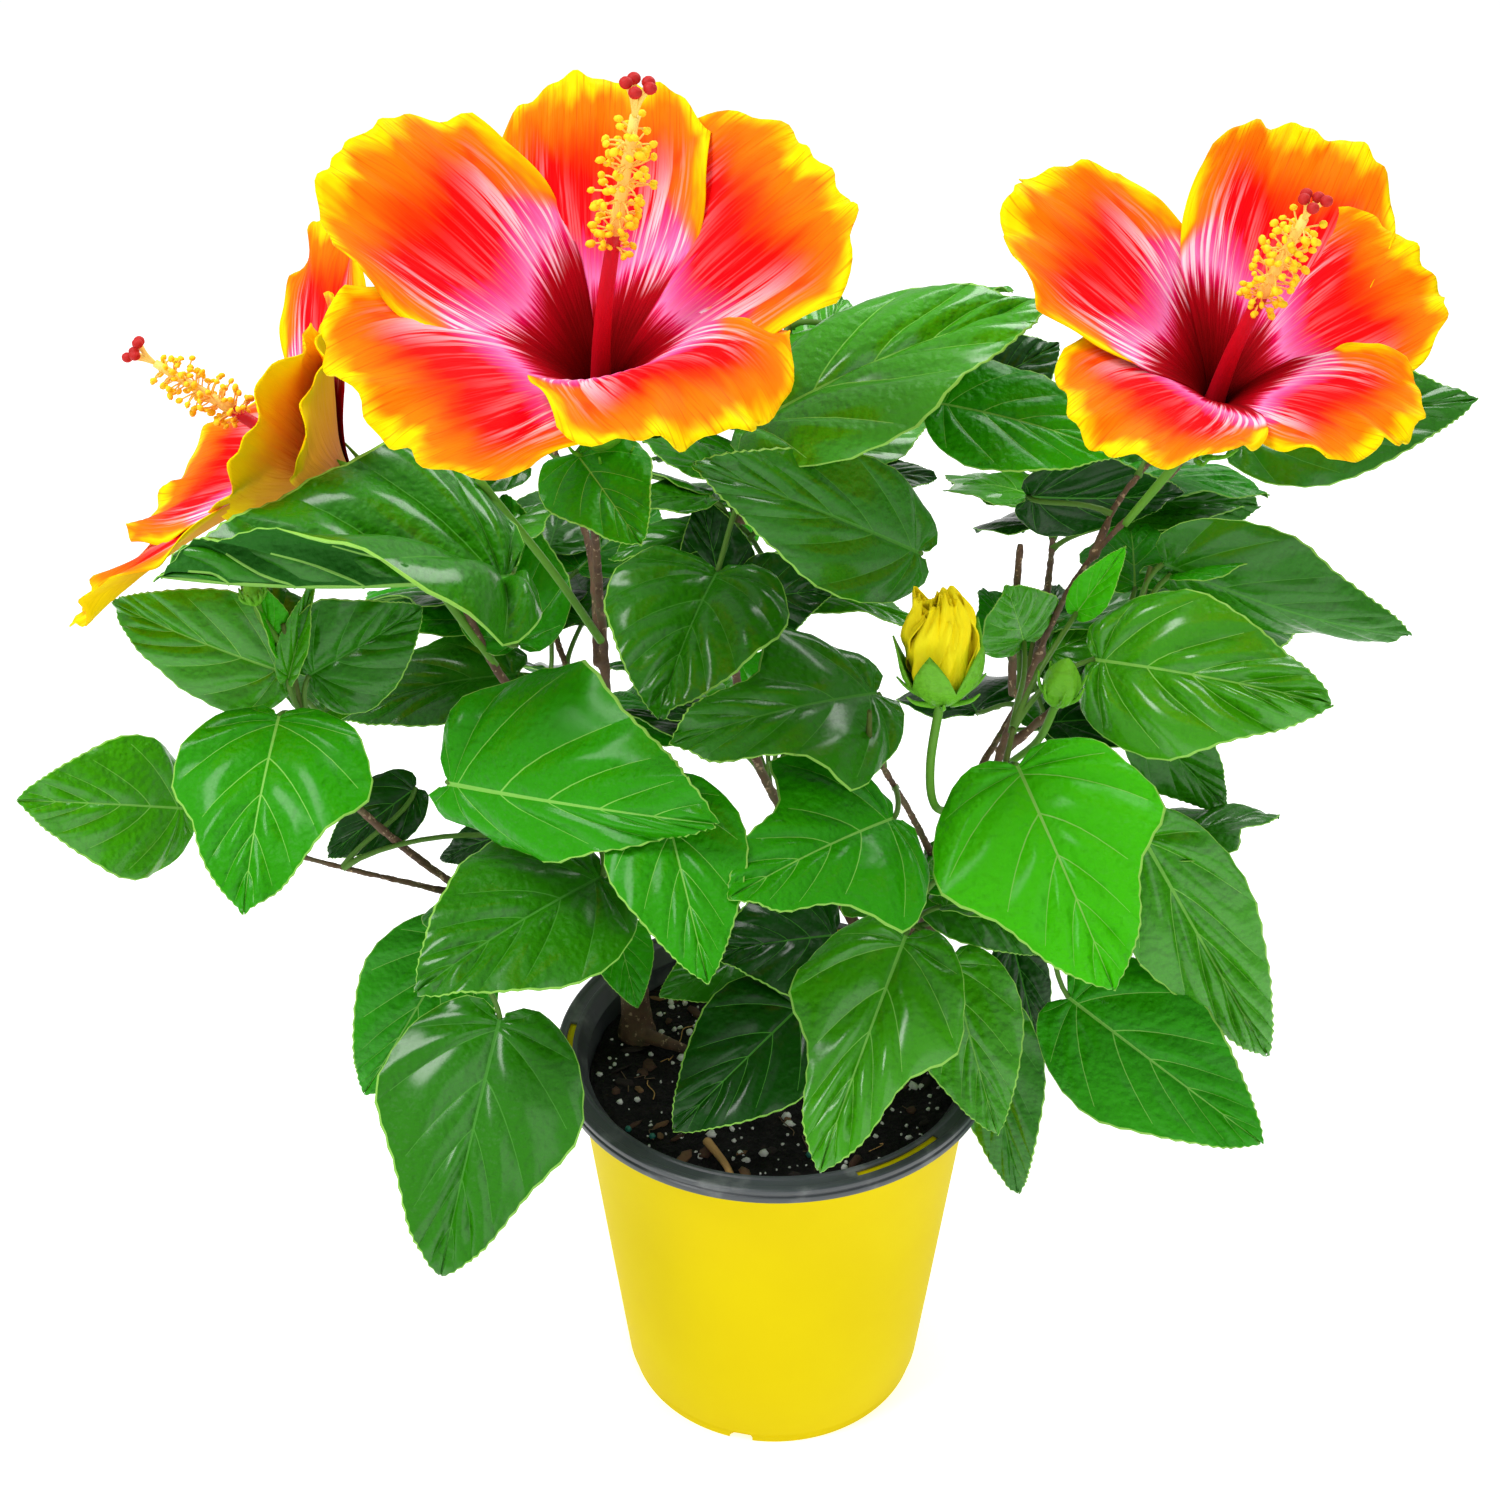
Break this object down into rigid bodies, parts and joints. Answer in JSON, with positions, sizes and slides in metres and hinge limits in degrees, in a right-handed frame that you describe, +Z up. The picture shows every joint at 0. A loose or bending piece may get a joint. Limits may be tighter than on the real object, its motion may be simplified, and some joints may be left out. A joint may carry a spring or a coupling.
{
  "type": "potted tropical hibiscus shrub in flower",
  "caption": "Flowering tropical hibiscus in a black nursery pot inside a plain yellow cover pot: woody stems, glossy toothed leaves, ruffled red and yellow blooms. Stands on a flat base.",
  "frame": {"origin": "Centre of the cover pot's flat underside, at the ground.", "axes": "+Z up along the pot's axis, +X along the crown's widest spread, -Y toward the side on which two blooms face the viewer."},
  "size_m": [0.4863, 0.3147, 0.5301],
  "materials": {
    "cover_pot": "smooth satin yellow plastic",
    "nursery_pot": "grey-black moulded plastic",
    "potting_mix": "dark potting mix with white perlite and bark chips",
    "bark": "brown woody stems, green toward the tips",
    "foliage": "glossy green leaves with pale veins",
    "petals": "soft petals, crimson throat to red, orange and a yellow edge",
    "bud": "crumpled yellow petals in a green calyx"
  },
  "bodies": {
    "root": {"bloom_centre": "petals", "bloom_left": "petals", "bloom_right": "petals", "bough_back": "bark", "bough_back_left": "bark", "bough_back_low": "bark", "bough_back_right": "bark", "bough_back_upper_left": "bark", "bough_back_upper_right": "bark", "bough_centre": "bark", "bough_far_left": "bark", "bough_far_right": "bark", "bough_front": "bark", "bough_front_left": "bark", "bough_front_right": "bark", "bough_inner": "bark", "bough_left": "bark", "bough_low_right": "bark", "bough_middle": "bark", "bough_middle_left": "bark", "bough_right": "bark", "bough_top": "bark", "bough_top_right": "bark", "bough_upper_left": "bark", "cover_pot": "cover_pot", "foliage_back": "foliage", "foliage_back_left": "foliage", "foliage_back_low": "foliage", "foliage_back_right": "foliage", "foliage_back_upper_left": "foliage", "foliage_back_upper_right": "foliage", "foliage_far_left": "foliage", "foliage_front": "foliage", "foliage_front_left": "foliage", "foliage_front_right": "foliage", "foliage_inner": "foliage", "foliage_left": "foliage", "foliage_low_right": "foliage", "foliage_middle": "foliage", "foliage_middle_left": "foliage", "foliage_right": "foliage", "foliage_top": "foliage", "foliage_top_right": "foliage", "foliage_upper_left": "foliage", "nursery_pot": "nursery_pot", "opening_bud": "bud", "potting_mix": "potting_mix", "trunk_left": "bark", "trunk_right": "bark"}
  },
  "joints": []
}
